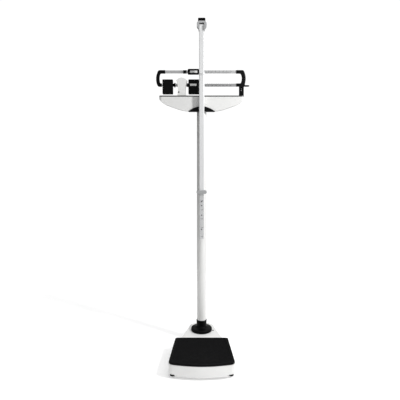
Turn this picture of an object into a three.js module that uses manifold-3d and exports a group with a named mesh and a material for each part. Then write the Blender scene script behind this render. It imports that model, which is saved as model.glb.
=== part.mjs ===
// A physician's beam scale. A platform stands on compound levers in a cast base. A draft rod carries their
// pull up the column to a balance beam with two sliding poises at eye level. A telescopic measuring rod
// stands in front of the column. Millimetres, +Z up. Everything is drawn with the column's axis at X 0, Y 0
// and the floor at Z 0, and the patient steps on from -Y. The finished group is then moved so that its
// origin is the middle of its footprint.
import * as THREE from 'three';
import { mergeVertices } from 'three/addons/utils/BufferGeometryUtils.js';
import Module from 'manifold-3d';

// ---------- driving dimensions ----------
const GAP = 0.3; // air between pieces that touch
const ROUND = 32; // facets of a turned piece
const FINE = 20; // facets of a small pin or screw

const FOOT_HEIGHT = 22.5;
const SKIRT_LOW = 14.5;
const SKIRT_TOP = 70.2;
const SKIRT_WALL = 5;
const FLOOR = { low: 9, top: 14 }; // the casting's floor hangs below its skirt, out of sight
const PLATE = { low: 71.2, under: 73, top: 76 };
const MAT_TOP = 80;
const MAT_FIELD = 78; // the ribbed field lies below the mat's raised border

const PLATFORM = { backY: -117, cornerY: -400, bowY: -434, backHalf: 146.5, frontHalf: 167.5 };
const REAR = { frontHalf: 118, kneeHalf: 107, kneeY: -79, waistHalf: 76, waistY: 33, endHalf: 62, endY: 100 };
const DECK = { under: 52, top: 58 }; // the rear arm's deck, which carries the column
const REAR_TOP = 70;
const COLLAR = { low: 118, top: 135, radius: 29.5 };

const TUBE = { outer: 26, inner: 24, low: 64.6, high: 1320 };

// Both levers turn on edges that lie across the base. Each edge pair is LOAD_ARM apart.
const LONG = { fulcrumY: -360, edgeZ: 41, low: 34, top: 48 };
const SHORT = { fulcrumY: -150, edgeZ: 24, low: 17, top: 31 };
const LOAD_ARM = 30;
const LINK_Y = -255; // where the short lever's nose hangs on the long lever
const KNIFE_HALF = 134;
const STAND_X = 128;
const LEVER_HALF = 118;

const PAN = { floor: 1320.4, rim: 1397, half: 230, depth: 34, wall: 2.5 };
const LID_TOP = 1403.3;
const FULCRUM = { x: -110, z: 1462 };
const BEAM_ARM = 12; // from the beam's fulcrum edge to its load edge
const LOAD_X = FULCRUM.x - BEAM_ARM;
const TRANSFER = { pivotX: -186, z: 1366, half: 6 };
const LOWER_BAR = { low: 1454, top: 1470, half: 3, right: 189.7 };
const UPPER_BAR = { low: 1525, top: 1541, half: 2.5, left: -198.2, right: 188.2 };
const ZERO_STOP = { left: -101, right: -82, half: 6 }; // keeps the small poise from going below zero
const BRACKET_HALF = 6;
const NOTCHES = { first: -43, pitch: 10, count: 21, depth: 2.5 };
const STOP = { x: 216.5, z: 1441, swing: 9.4 };
const SPINDLE = 4;
const BORE = SPINDLE + GAP;

const RAIL = { half: 11.5, front: -53, back: -44, low: 618, high: 1400 };
const SLEEVE = { half: 14, front: -59, back: -41, wall: 2, low: 872, high: 1752, slot: 6 };
const HEAD = { front: -74, back: -39, low: 1738, top: 1786 };
const TONGUE = { y: -64.5, z: 1765, half: 12, thick: 5, low: 1515 };

// ---------- geometry helpers ----------
const wasm = await Module();
wasm.setup();

function toSolid(geometry) {
  const bare = geometry.clone();
  bare.deleteAttribute('normal');
  bare.deleteAttribute('uv');
  const merged = mergeVertices(bare, 1e-3);
  const vertProperties = merged.attributes.position.array;
  const triVerts = new Uint32Array(merged.index.array);
  return new wasm.Manifold(new wasm.Mesh({ numProp: 3, vertProperties, triVerts }));
}

function toGeometry(solid) {
  const { vertProperties, triVerts } = solid.getMesh();
  const geometry = new THREE.BufferGeometry();
  geometry.setAttribute('position', new THREE.BufferAttribute(vertProperties, 3));
  geometry.setIndex(new THREE.BufferAttribute(triVerts, 1));
  return geometry;
}

function join(...pieces) {
  return toGeometry(pieces.map(toSolid).reduce((whole, piece) => whole.add(piece)));
}

function cut(body, ...tools) {
  return toGeometry(tools.map(toSolid).reduce((whole, tool) => whole.subtract(tool), toSolid(body)));
}

function common(a, b) {
  return toGeometry(toSolid(a).intersect(toSolid(b)));
}

// An outline from corners [u, v, r]: r is how far from the corner its rounding starts.
function outline(corners) {
  const shape = new THREE.Shape();
  corners.forEach(([u, v, r = 0], i) => {
    const here = new THREE.Vector2(u, v);
    const [beforeU, beforeV] = corners.at(i - 1);
    const [afterU, afterV] = corners[(i + 1) % corners.length];
    const start = new THREE.Vector2(beforeU, beforeV).sub(here).setLength(r).add(here);
    const end = new THREE.Vector2(afterU, afterV).sub(here).setLength(r).add(here);
    if (i === 0) shape.moveTo(start.x, start.y);
    else shape.lineTo(start.x, start.y);
    if (r > 0) shape.quadraticCurveTo(u, v, end.x, end.y);
  });
  shape.closePath();
  return shape;
}

function rectangle(u0, v0, u1, v1, r = 0) {
  return outline([[u0, v0, r], [u1, v0, r], [u1, v1, r], [u0, v1, r]]);
}

// Gives an outline's left half from the right half's corners, so that it is symmetric about u = 0.
function mirrored(corners) {
  const left = corners.map(([u, v, r]) => [-u, v, r]).reverse();
  return outline([...corners, ...left]);
}

const FRONT_VIEW = new THREE.Matrix4().makeBasis(
  new THREE.Vector3(1, 0, 0), new THREE.Vector3(0, 0, 1), new THREE.Vector3(0, -1, 0));
const SIDE_VIEW = new THREE.Matrix4().makeBasis(
  new THREE.Vector3(0, 1, 0), new THREE.Vector3(0, 0, 1), new THREE.Vector3(1, 0, 0));

function extruded(shape, depth) {
  return new THREE.ExtrudeGeometry(shape, { depth, bevelEnabled: false, curveSegments: 6 });
}

// An XY outline, between two heights.
function upright(shape, low, high) {
  return extruded(shape, high - low).translate(0, 0, low);
}

// An XZ outline, between two Y planes.
function across(shape, front, back) {
  return extruded(shape, back - front).applyMatrix4(FRONT_VIEW).translate(0, back, 0);
}

// A YZ outline, between two X planes.
function sideways(shape, left, right) {
  return extruded(shape, right - left).applyMatrix4(SIDE_VIEW).translate(left, 0, 0);
}

function block(x0, y0, z0, x1, y1, z1) {
  const box = new THREE.BoxGeometry(x1 - x0, y1 - y0, z1 - z0);
  return box.translate((x0 + x1) / 2, (y0 + y1) / 2, (z0 + z1) / 2);
}

// A profile of [radius, height] points, counter-clockwise, turned about an axis through (x, y, z).
function turned(profile, axis = 'z', x = 0, y = 0, z = 0, facets = ROUND) {
  const points = profile.map(([radius, height]) => new THREE.Vector2(radius, height));
  const lathe = new THREE.LatheGeometry(points, facets);
  if (axis === 'z') lathe.rotateX(Math.PI / 2);
  if (axis === 'x') lathe.rotateZ(-Math.PI / 2);
  return lathe.translate(x, y, z);
}

function pin(radius, low, high, axis = 'z', x = 0, y = 0, z = 0, facets = FINE) {
  return turned([[0, low], [radius, low], [radius, high], [0, high]], axis, x, y, z, facets);
}

// ---------- materials and nodes ----------
const scale = new THREE.Group();

const PAINTS = {
  white: [0xf2f2f0, 0.35, 0.0],
  black: [0x0d0d0e, 0.5, 0.0],
  rubber: [0x141415, 0.85, 0.0],
  grey: [0xb4b6b8, 0.4, 0.1],
  lens: [0xf6f7f7, 0.15, 0.0],
  steel: [0xb9bcc0, 0.3, 1.0],
  aluminium: [0xc9cbcd, 0.35, 0.9],
  iron: [0x3a3c40, 0.65, 0.4],
};

function add(name, paint, geometry) {
  const [color, roughness, metalness] = PAINTS[paint];
  const mesh = new THREE.Mesh(geometry, new THREE.MeshStandardMaterial({ color, roughness, metalness }));
  mesh.name = name;
  scale.add(mesh);
}

// ---------- base ----------
// The platform's plan, narrower at the column and bowed at the front, with its sides moved inwards by inset.
function platformPlan(inset, frontInset = inset) {
  const back = PLATFORM.backHalf - inset;
  const front = PLATFORM.frontHalf - inset;
  const backY = PLATFORM.backY - inset;
  const cornerY = PLATFORM.cornerY + frontInset;
  return outline([
    [-back, backY, 14], [back, backY, 14],
    [front, cornerY, 28], [0, PLATFORM.bowY + frontInset, 110], [-front, cornerY, 28],
  ]);
}

// The rear arm's plan, from the platform's back edge to behind the column.
function rearPlan(inset, frontY) {
  const side = [
    [REAR.frontHalf - inset, frontY, 0],
    [REAR.kneeHalf - inset, REAR.kneeY, 20],
    [REAR.waistHalf - inset, REAR.waistY, 20],
    [REAR.endHalf - inset, REAR.endY - inset, 40],
  ];
  return mirrored(side);
}

const FEET = { front: [147, -370], rear: [45, 68] };
const FOOT_STUD = 3.7;
const FOOT_POCKET = 13.5;
const FOOT_BOSS = 5; // thickness of the casting over a foot
const CORNER = { x: 130, y: -352 }; // the skirt is cut away round each front foot, out from here

function footPlaces() {
  const [frontX, frontY] = FEET.front;
  const [rearX, rearY] = FEET.rear;
  return {
    front_left: [-frontX, frontY], front_right: [frontX, frontY],
    rear_left: [-rearX, rearY], rear_right: [rearX, rearY],
  };
}

// A post under a lever's fulcrum edge, with a V groove that opens wider than the edge.
function knifeStand(side, y, edgeZ) {
  const x = side * STAND_X;
  const post = block(x - 6, y - 8, FLOOR.top - 1, x + 6, y + 8, edgeZ + 2.7);
  const groove = outline([[y, edgeZ - GAP], [y + 8, edgeZ + 3.7], [y - 8, edgeZ + 3.7]]);
  return cut(post, sideways(groove, x - 7, x + 7));
}

// The floor hangs below the skirt, set back from the front.
function sunkenFloor() {
  const ledgeTop = SKIRT_LOW + 5;
  return join(
    cut(
      upright(platformPlan(4, 30), FLOOR.low, ledgeTop),
      upright(platformPlan(9, 35), FLOOR.top, ledgeTop + 1)),
    cut(
      upright(platformPlan(2), SKIRT_LOW, ledgeTop),
      upright(platformPlan(9, 35), SKIRT_LOW - 1, ledgeTop + 1)));
}

// The two front corners of the base, where the feet stand.
function frontCorners(low, high) {
  return [
    block(-180, -450, low, -CORNER.x, CORNER.y, high),
    block(CORNER.x, -450, low, 180, CORNER.y, high),
  ];
}

// Material over the feet, which their studs pass through.
function footBosses() {
  const top = FOOT_HEIGHT + FOOT_BOSS;
  const [rearX, rearY] = FEET.rear;
  const rear = [-rearX, rearX].map((x) => pin(FOOT_POCKET + 2, FLOOR.low, top, 'z', x, rearY, 0, ROUND));
  return [
    common(join(...frontCorners(FOOT_HEIGHT, top)), upright(platformPlan(1), FOOT_HEIGHT, top)),
    common(join(...rear), upright(rearPlan(5, REAR.kneeY), FLOOR.low, top)),
  ];
}

function baseCasting() {
  const skirt = cut(
    upright(platformPlan(0), SKIRT_LOW, SKIRT_TOP),
    upright(platformPlan(SKIRT_WALL), SKIRT_LOW - 1, SKIRT_TOP + 1));
  const arm = cut(
    upright(rearPlan(3, PLATFORM.backY - 6), FLOOR.low, DECK.top),
    upright(rearPlan(8, PLATFORM.backY - 3), FLOOR.top, DECK.under));
  const stands = [-1, 1].flatMap((side) => [
    knifeStand(side, LONG.fulcrumY, LONG.edgeZ),
    knifeStand(side, SHORT.fulcrumY, SHORT.edgeZ),
  ]);
  const [rearX, rearY] = FEET.rear;
  const rearPockets = [-rearX, rearX].map((x) => pin(FOOT_POCKET, 0, FOOT_HEIGHT, 'z', x, rearY, 0, ROUND));
  const studHoles = Object.values(footPlaces()).map(([x, y]) => pin(FOOT_STUD + GAP, 0, 32, 'z', x, y));
  return cut(
    join(skirt, sunkenFloor(), arm, ...stands, ...footBosses()),
    block(-42, PLATFORM.backY - 12, FLOOR.top, 42, PLATFORM.backY + 6, DECK.under),
    upright(rectangle(-104, -344, 104, -168, 12), 0, FLOOR.top + 1),
    upright(rectangle(-30, -118, 30, 40, 12), 0, FLOOR.top + 1),
    pin(17, DECK.under - 1, DECK.top + 1, 'z', 0, 0, 0, ROUND),
    ...frontCorners(0, FOOT_HEIGHT),
    ...rearPockets,
    ...studHoles);
}

const COVER_SCREW = { x: 66, y: -8 };

function rearCover() {
  return cut(
    upright(rearPlan(0, PLATFORM.backY + 0.5), SKIRT_LOW + 1, REAR_TOP),
    upright(rearPlan(2.5, PLATFORM.backY - 3), SKIRT_LOW, REAR_TOP - 3),
    pin(TUBE.outer + 2, REAR_TOP - 5, REAR_TOP + 1, 'z', 0, 0, 0, ROUND),
    pin(2.5, REAR_TOP - 5, REAR_TOP + 1, 'z', COVER_SCREW.x, COVER_SCREW.y));
}

function rearCoverScrew() {
  const z = REAR_TOP + GAP;
  const profile = [[0, z - 7], [2, z - 7], [2, z], [4.5, z], [4.5, z + 1.2], [3.5, z + 2], [0, z + 2]];
  return turned(profile, 'z', COVER_SCREW.x, COVER_SCREW.y, 0, FINE);
}

function foot() {
  return turned([
    [0, 0], [11, 0], [12, 1.5], [12, FOOT_HEIGHT - GAP],
    [FOOT_STUD, FOOT_HEIGHT - GAP], [FOOT_STUD, FOOT_HEIGHT + 8],
    [0, FOOT_HEIGHT + 8],
  ]);
}

function addBase() {
  add('base_casting', 'white', baseCasting());
  add('rear_cover', 'white', rearCover());
  add('rear_cover_screw', 'black', rearCoverScrew());
  for (const [place, [x, y]] of Object.entries(footPlaces())) {
    add(`foot_${place}`, 'rubber', foot().translate(x, y, 0));
  }
}

// ---------- levers and platform ----------
// A hard steel bar across a lever. Its edge points down at a fulcrum and up at a load.
function knifeBar(y, edgeZ, points) {
  const up = points === 'up' ? -1 : 1;
  const section = [[-3.5, 9], [-3.5, 3], [0, 0], [3.5, 3], [3.5, 9]].map(([v, w]) => [y + v, edgeZ + up * w]);
  return sideways(outline(section), -KNIFE_HALF, KNIFE_HALF);
}

// The slot that a knife bar is pressed into.
function knifeSlot(y, edgeZ, points) {
  const low = points === 'up' ? edgeZ - 9 : edgeZ;
  return block(-LEVER_HALF - 1, y - 3.5 - GAP, low - GAP, LEVER_HALF + 1, y + 3.5 + GAP, low + 9 + GAP);
}

// Half the long lever's width at a distance y from the column.
function longLeverHalf(y) {
  const narrow = 12;
  const along = (y + 342) / 272;
  return LEVER_HALF + (narrow - LEVER_HALF) * along;
}

function longLever() {
  const plan = mirrored([
    [LEVER_HALF, -374, 6], [LEVER_HALF, -342, 12], [longLeverHalf(-70), -70, 12], [9, 14, 5],
  ]);
  const armWidth = 22;
  const window = (y0, y1) => mirrored([
    [longLeverHalf(y0) - armWidth, y0, 4], [longLeverHalf(y1) - armWidth, y1, 4],
  ]);
  const { low, top, fulcrumY, edgeZ } = LONG;
  return cut(
    upright(plan, low, top),
    upright(window(-318, LINK_Y - 7), low - 1, top + 1),
    upright(window(LINK_Y + 7, -130), low - 1, top + 1),
    knifeSlot(fulcrumY, edgeZ, 'down'),
    knifeSlot(fulcrumY + LOAD_ARM, edgeZ, 'up'));
}

function shortLever() {
  const { low, top, fulcrumY, edgeZ } = SHORT;
  const plan = mirrored([
    [14, LINK_Y - 7, 4], [LEVER_HALF, fulcrumY - 42, 8], [LEVER_HALF, fulcrumY + 12, 6],
  ]);
  const window = mirrored([[18, -232, 4], [72, fulcrumY - 44, 4]]);
  return cut(
    upright(plan, low, top),
    upright(window, low - 1, top + 1),
    upright(rectangle(-88, -172, 88, -158, 4), low - 1, top + 1),
    block(-5, LINK_Y + 7, low - 1, 5, LINK_Y + 15, top + 1),
    knifeSlot(fulcrumY, edgeZ, 'down'),
    knifeSlot(fulcrumY - LOAD_ARM, edgeZ, 'up'));
}

// A closed stirrup round the short lever's nose and the long lever's crossbar.
function noseLink() {
  const inside = rectangle(LINK_Y - 7.5, SHORT.low - GAP, LINK_Y + 7.5, LONG.top + GAP);
  const outside = rectangle(LINK_Y - 13, SHORT.low - 6, LINK_Y + 13, LONG.top + 6, 5);
  return cut(sideways(outside, -4, 4), sideways(inside, -5, 5));
}

// A leg comes down outside the levers to each end of a load edge.
function platformLeg(side, y, edgeZ) {
  const x = side * STAND_X;
  const post = block(x - 6, y - 8, edgeZ - 2.7, x + 6, y + 8, PLATE.under + 1);
  const groove = outline([[y, edgeZ + GAP], [y - 8, edgeZ - 3.7], [y + 8, edgeZ - 3.7]]);
  return cut(post, sideways(groove, x - 7, x + 7));
}

function platformPlate() {
  const shell = cut(
    upright(platformPlan(7), PLATE.low, PLATE.top),
    upright(platformPlan(12), PLATE.low - 1, PLATE.under));
  const legs = [-1, 1].flatMap((side) => [
    platformLeg(side, LONG.fulcrumY + LOAD_ARM, LONG.edgeZ),
    platformLeg(side, SHORT.fulcrumY - LOAD_ARM, SHORT.edgeZ),
  ]);
  return join(shell, ...legs);
}

function platformMat() {
  return cut(
    upright(platformPlan(2), PLATE.low + GAP, MAT_TOP),
    upright(platformPlan(7 - GAP), PLATE.low, PLATE.top + GAP),
    upright(platformPlan(17), MAT_FIELD, MAT_TOP + 1));
}

function addLeversAndPlatform() {
  add('long_lever', 'iron', longLever());
  add('long_lever_fulcrum_knife', 'steel', knifeBar(LONG.fulcrumY, LONG.edgeZ, 'down'));
  add('long_lever_load_knife', 'steel', knifeBar(LONG.fulcrumY + LOAD_ARM, LONG.edgeZ, 'up'));
  add('short_lever', 'iron', shortLever());
  add('short_lever_fulcrum_knife', 'steel', knifeBar(SHORT.fulcrumY, SHORT.edgeZ, 'down'));
  add('short_lever_load_knife', 'steel', knifeBar(SHORT.fulcrumY - LOAD_ARM, SHORT.edgeZ, 'up'));
  add('nose_link', 'steel', noseLink());
  add('platform_plate', 'iron', platformPlate());
  add('platform_mat', 'rubber', platformMat());
}

// ---------- column ----------
function columnSocket() {
  const spigot = TUBE.inner - GAP;
  const [hole, flange, seat, face, top] = [15, 48, DECK.top + GAP, TUBE.low - GAP, 150];
  return turned([
    [hole, seat], [flange, seat], [flange, 62], [flange - 2, face],
    [spigot, face], [spigot, top], [hole, top], [hole, seat],
  ]);
}

function columnTube() {
  const { inner, outer, low, high } = TUBE;
  return turned([[inner, low], [outer, low], [outer, high], [inner, high], [inner, low]], 'z', 0, 0, 0, 48);
}

function footBell() {
  const hole = TUBE.outer + GAP;
  return turned([
    [hole, REAR_TOP + GAP], [59, REAR_TOP + GAP], [60, 72], [60, 82], [58, 86], [53, 88], [44, 90], [35, 93],
    [30.5, 98], [29, 104], [28.5, COLLAR.low - GAP], [hole, COLLAR.low - GAP], [hole, REAR_TOP + GAP],
  ], 'z', 0, 0, 0, 40);
}

function footCollar() {
  const hole = TUBE.outer + GAP;
  const { low, top, radius } = COLLAR;
  return turned([[hole, low], [radius, low], [radius, top - 2], [radius - 1, top], [hole, top], [hole, low]]);
}

// The draft rod's lower stirrup holds up the long lever's nose, and its upper one pulls the transfer lever down.
function draftRod() {
  const lower = cut(
    across(rectangle(-15, LONG.low - 7, 15, LONG.top + 4, 4), -4, 4),
    across(rectangle(-10.3, LONG.low - GAP, 10.3, LONG.top + GAP), -5, 5));
  const { z, half } = TRANSFER;
  const upper = cut(
    sideways(rectangle(-half - 5, z - half - 8, half + 5, z + half + 6, 3), -4, 4),
    sideways(rectangle(-half - 0.6, z - half - 1.6, half + 0.6, z + half + GAP), -5, 5));
  return join(lower, upper, pin(3, LONG.top + 2, z - half - 5));
}

function addColumn() {
  add('column_socket', 'iron', columnSocket());
  add('column_tube', 'white', columnTube());
  add('foot_bell', 'black', footBell());
  add('foot_collar', 'black', footCollar());
  add('draft_rod', 'steel', draftRod());
}

// ---------- head housing ----------
function headSocket() {
  const spigot = TUBE.inner - GAP;
  const floor = PAN.floor + PAN.wall + GAP;
  return turned([
    [10, 1250], [spigot, 1250], [spigot, floor], [30, floor], [30, floor + 6], [10, floor + 6], [10, 1250],
  ]);
}

// The boat-shaped front outline of the pan, moved inwards by inset, up to the height top.
function panFront(inset, top) {
  return mirrored([
    [100, PAN.floor + inset, 40],
    [200, PAN.floor + 36 + inset, 18],
    [PAN.half - inset, PAN.floor + 58 + inset * 0.5, 14],
    [PAN.half - inset, top, 0],
  ]);
}

function panPlan(inset) {
  const half = PAN.half - inset;
  const depth = PAN.depth - inset;
  return rectangle(-half, -depth, half, depth, 14 - inset);
}

function pan() {
  const outside = common(
    across(panFront(0, PAN.rim), -PAN.depth, PAN.depth),
    upright(panPlan(0), PAN.floor - 1, PAN.rim + 1));
  const inside = common(
    across(panFront(PAN.wall, PAN.rim + 2), -PAN.depth + PAN.wall, PAN.depth - PAN.wall),
    upright(panPlan(PAN.wall), PAN.floor, PAN.rim + 3));
  return cut(outside, inside, pin(TUBE.inner, PAN.floor - 2, PAN.floor + 5, 'z', 0, 0, 0, ROUND));
}

// Everything that rises from the lever in the pan to the beam passes this opening.
const LID_HOLE = rectangle(LOAD_X - 8, -13, FULCRUM.x + 8, 13, 3);

function panLid() {
  return cut(upright(panPlan(0), PAN.rim + GAP, LID_TOP), upright(LID_HOLE, PAN.rim - 1, LID_TOP + 1));
}

// A black saddle on the column's top, whose two cheeks clasp the pan.
function cradle() {
  const low = PAN.floor - 2.4;
  const arch = new THREE.Shape();
  arch.moveTo(-72, low);
  arch.lineTo(72, low);
  arch.lineTo(71, PAN.floor);
  arch.quadraticCurveTo(0, PAN.floor + 50, -71, PAN.floor);
  arch.closePath();
  return cut(
    extruded(arch, 76).applyMatrix4(FRONT_VIEW).translate(0, 38, 0),
    across(panFront(-GAP, PAN.rim), -PAN.depth - GAP, PAN.depth + GAP),
    pin(TUBE.outer + GAP, low - 1, PAN.floor + 1, 'z', 0, 0, 0, 48));
}

function transferLever() {
  const { pivotX, z, half } = TRANSFER;
  const side = outline([
    [pivotX - 8, z - half, 4], [LOAD_X, z - half, 0], [10, z - half, 3],
    [10, z + half, 3], [pivotX - 8, z + half, 4],
  ]);
  return cut(across(side, -half, half), pin(3 + GAP, -8, 8, 'z').rotateX(Math.PI / 2).translate(pivotX, 0, z));
}

function transferPin() {
  return pin(3, -13.5, 13.5).rotateX(Math.PI / 2).translate(TRANSFER.pivotX, 0, TRANSFER.z);
}

// A fork on the pan's sloping floor, which carries the transfer lever's pin.
function transferStand() {
  const { pivotX, z, half } = TRANSFER;
  const fork = cut(
    sideways(rectangle(-14, z - 30, 14, z + 8, 4), pivotX - 7, pivotX + 7),
    sideways(rectangle(-half - 0.6, z - half - 4, half + 0.6, z + 12), pivotX - 8, pivotX + 8),
    pin(3 + GAP, -16, 16).rotateX(Math.PI / 2).translate(pivotX, 0, z));
  return common(fork, across(panFront(PAN.wall + GAP, PAN.rim), -20, 20));
}

function addHeadHousing() {
  add('head_socket', 'iron', headSocket());
  add('pan', 'white', pan());
  add('pan_lid', 'grey', panLid());
  add('cradle', 'black', cradle());
  add('transfer_lever', 'iron', transferLever());
  add('transfer_pin', 'steel', transferPin());
  add('transfer_stand', 'iron', transferStand());
}

// ---------- fulcrum ----------
// A tall stirrup that hangs on the beam's load edge and holds up the transfer lever.
function beamLink() {
  const { z, half } = TRANSFER;
  const low = z - half - GAP;
  const top = LOWER_BAR.top + 2;
  const side = LOAD_X - 2.5;
  const ring = cut(
    sideways(rectangle(-11, low - 6, 11, top + 5, 4), side, side + 5),
    sideways(rectangle(-7.3, low, 7.3, top), side - 1, side + 6));
  const eye = { half: 6, y: 9.15, thick: 1.85, low: FULCRUM.z - 12 };
  const eyes = [-eye.y, eye.y].map((y) => block(
    LOAD_X - eye.half, y - eye.thick, eye.low, LOAD_X + eye.half, y + eye.thick, top));
  return cut(join(ring, ...eyes), block(LOAD_X - 3, -12, FULCRUM.z - 10, LOAD_X + 3, 12, FULCRUM.z + GAP));
}

function fulcrumStand() {
  const { x } = FULCRUM;
  const low = LID_TOP + GAP;
  const foot = cut(
    block(x - 17, -26.5, low, x + 19, 26.5, low + 5),
    upright(LID_HOLE, low - 1, low + 6));
  const postTop = FULCRUM.z - 7.3;
  const posts = [-18.5, 18.5].map((y) => block(x - 10, y - 4, low, x + 10, y + 4, postTop));
  return join(foot, ...posts);
}

function fulcrumBearing(side) {
  const { x, z } = FULCRUM;
  const seat = block(x - 8, side * 18.5 - 4, z - 7, x + 8, side * 18.5 + 4, z + 2.7);
  const groove = outline([[x, z - GAP], [x + 8, z + 3.7], [x - 8, z + 3.7]]);
  return cut(seat, across(groove, side * 18.5 - 5, side * 18.5 + 5));
}

// The fan-shaped outline of the fulcrum's cover: a waist, wide shoulders and an arched top.
function fanOutline(inset, low) {
  const middle = FULCRUM.x + 2;
  const shape = new THREE.Shape();
  const at = (half, z) => [middle + half, z];
  const foot = 23 - inset;
  const waist = 20.5 - inset;
  const shoulder = 29.5 - inset;
  shape.moveTo(...at(-foot, low));
  shape.lineTo(...at(foot, low));
  shape.quadraticCurveTo(...at(foot - 2, 1424), ...at(waist, 1441));
  shape.quadraticCurveTo(...at(waist + 1, 1464), ...at(shoulder, 1485 - inset));
  shape.quadraticCurveTo(...at(0, 1515 - inset), ...at(-shoulder, 1485 - inset));
  shape.quadraticCurveTo(...at(-waist - 1, 1464), ...at(-waist, 1441));
  shape.quadraticCurveTo(...at(-foot + 2, 1424), ...at(-foot, low));
  return shape;
}

const FAN_SCREW = { x: -123.5, z: 1422 };

function fulcrumCover() {
  const low = LID_TOP + GAP;
  const wall = 2.5;
  return cut(
    across(fanOutline(0, low), -30, 30),
    across(fanOutline(wall, low - 1), -30 + wall, 30 - wall),
    block(-160, -12.5, low - 1, -60, 12.5, 1483),
    pin(2.3, 26, 31).rotateX(Math.PI / 2).translate(FAN_SCREW.x, 0, FAN_SCREW.z));
}

function fulcrumCoverScrew() {
  const face = 30 + GAP;
  return turned([[0, 25], [2, 25], [2, face], [3.6, face], [3.6, face + 1.2], [2.8, face + 2], [0, face + 2]],
    'z', 0, 0, 0, FINE).rotateX(Math.PI / 2).translate(FAN_SCREW.x, 0, FAN_SCREW.z);
}

// A fork that the beam's end moves in. The stop pin meets the ends of its two slots.
function guidePost() {
  const low = LID_TOP + GAP;
  const fork = block(205, -10, low, 230, 10, 1457);
  return cut(
    fork,
    block(204, -BRACKET_HALF - 0.8, 1422, 231, BRACKET_HALF + 0.8, 1458),
    block(STOP.x - 3.2, -11, STOP.z - STOP.swing, STOP.x + 3.2, 11, STOP.z + STOP.swing));
}

function addFulcrum() {
  add('beam_link', 'steel', beamLink());
  add('fulcrum_stand', 'iron', fulcrumStand());
  add('fulcrum_bearing_front', 'steel', fulcrumBearing(-1));
  add('fulcrum_bearing_rear', 'steel', fulcrumBearing(1));
  add('fulcrum_cover', 'white', fulcrumCover());
  add('fulcrum_cover_screw', 'black', fulcrumCoverScrew());
  add('guide_post', 'black', guidePost());
}

// ---------- beam ----------
function knifeFront(edgeX, points) {
  const up = points === 'up' ? -1 : 1;
  const section = [[-2.7, 5.5], [-2.7, 2.5], [0, 0], [2.7, 2.5], [2.7, 5.5]];
  return outline(section.map(([u, w]) => [edgeX + u, FULCRUM.z + up * w]));
}

function lowerBar() {
  const { low, top, half, right } = LOWER_BAR;
  const middle = (low + top) / 2;
  const bossLeft = LOAD_X - 17;
  const notches = Array.from({ length: NOTCHES.count }, (_, i) => {
    const x = NOTCHES.first + i * NOTCHES.pitch;
    return across(outline([[x, top - NOTCHES.depth], [x + 4, top + 1.5], [x - 4, top + 1.5]]), -half - 1, half + 1);
  });
  return cut(
    join(
      block(bossLeft + 5, -half, low, right, half, top),
      block(bossLeft, -7, low, bossLeft + 10, 7, top),
      block(right - 1, -2, middle - 5, right + 11.3, 2, middle + 5)),
    pin(BORE, bossLeft - 1, bossLeft + 6, 'x', 0, 0, middle),
    block(FULCRUM.x - 3, -8, FULCRUM.z - GAP, FULCRUM.x + 3, 8, FULCRUM.z + 5.8),
    block(LOAD_X - 3, -6, FULCRUM.z - 5.8, LOAD_X + 3, 6, FULCRUM.z + GAP),
    ...notches);
}

function upperBar() {
  const { low, top, half, left, right } = UPPER_BAR;
  const { left: stopLeft, right: stopRight, half: stopHalf } = ZERO_STOP;
  return join(
    block(left, -half, low, right, half, top),
    block(left - 11, -1.8, low + 3, right + 11, 1.8, top - 3),
    block(stopLeft, -stopHalf, low - 1, stopRight, stopHalf, top + 1));
}

function upperPocket(end, side) {
  const far = end + side * 12;
  return block(Math.min(end - side, far), -2.1, UPPER_BAR.low + 3 - GAP, Math.max(end - side, far), 2.1,
    UPPER_BAR.top - 3 + GAP);
}

function beamBracketLeft() {
  const shape = outline([
    [-198.5, 1542, 0], [-236, 1542, 9], [-254, 1498, 33], [-240, 1453, 12], [-217.3, 1453, 0],
    [-217.3, 1471, 0], [-226, 1471, 6], [-232, 1498, 20], [-225, 1524, 6], [-198.5, 1524, 0],
  ]);
  const middle = (LOWER_BAR.low + LOWER_BAR.top) / 2;
  return cut(
    across(shape, -BRACKET_HALF, BRACKET_HALF),
    upperPocket(-198.5, -1),
    pin(BORE, -232, -217, 'x', 0, 0, middle));
}

function beamBracketRight() {
  const shape = outline([
    [188.5, 1542, 0], [188.5, 1524, 0], [213, 1524, 6], [222, 1500, 18], [214, 1471, 6], [190, 1471, 0],
    [190, 1454, 0], [210.5, 1454, 0], [210.5, 1434, 5], [222.5, 1434, 5], [222.5, 1454, 0], [236, 1454, 3],
    [236, 1467, 8], [243.5, 1502, 26], [229, 1542, 9],
  ]);
  const middle = (LOWER_BAR.low + LOWER_BAR.top) / 2;
  return cut(
    across(shape, -BRACKET_HALF, BRACKET_HALF),
    upperPocket(188.5, 1),
    block(189, -2.3, middle - 5.3, 201.3, 2.3, middle + 5.3),
    pin(2 + GAP, -8, 8).rotateX(Math.PI / 2).translate(STOP.x, 0, STOP.z));
}

function pointer() {
  const blade = outline([
    [230.6, 1452.5, 1], [250, 1452.5, 0], [260, 1454, 2],
    [260, 1460, 2], [250, 1461.5, 0], [230.6, 1461.5, 1],
  ]);
  return across(blade, -BRACKET_HALF - GAP - 2, -BRACKET_HALF - GAP);
}

function stopPin() {
  return pin(2, -9.7, 9.7).rotateX(Math.PI / 2).translate(STOP.x, 0, STOP.z);
}

function beamSpindle() {
  return pin(SPINDLE, -231.5, LOAD_X - 11.5, 'x', 0, 0, (LOWER_BAR.low + LOWER_BAR.top) / 2);
}

function counterweight() {
  const middle = (LOWER_BAR.low + LOWER_BAR.top) / 2;
  return cut(
    across(rectangle(-213, 1413, -156.5, 1491, 4), -18, 18),
    pin(BORE, -214, -155, 'x', 0, 0, middle));
}

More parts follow.
